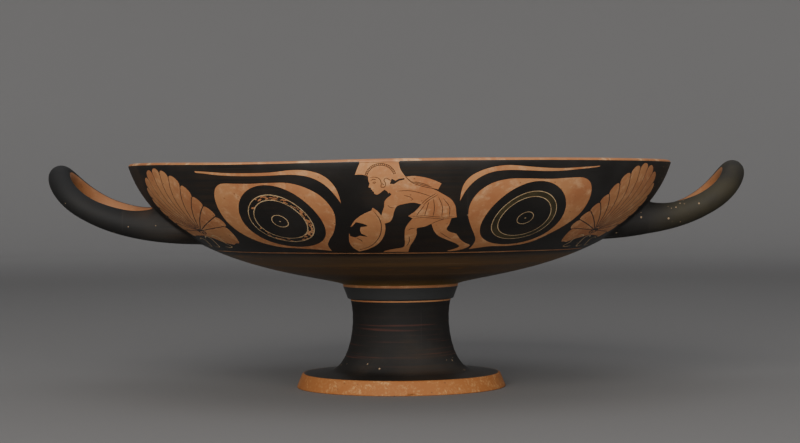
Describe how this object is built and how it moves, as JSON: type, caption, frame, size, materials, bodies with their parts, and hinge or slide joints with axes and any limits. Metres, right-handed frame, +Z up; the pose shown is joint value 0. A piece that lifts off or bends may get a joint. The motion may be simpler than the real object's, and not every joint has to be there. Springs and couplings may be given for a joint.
{
  "type": "kylix",
  "caption": "Stemmed drinking cup of fired clay: wide shallow bowl, flaring hollow foot, two upturned horseshoe handles, painted with eyes, palmettes and a stooping figure.",
  "frame": {"origin": "centre of the ring that the foot rests on, at the level of the surface it stands on", "axes": "+Z up along the turned axis, +X through the right handle as seen from the painted front, -Y towards the painted front"},
  "size_m": [0.4134, 0.3208, 0.1334],
  "materials": {
    "fired_clay": "black gloss with reserved orange clay"
  },
  "bodies": {
    "root": {"kylix": "fired_clay"}
  },
  "joints": []
}
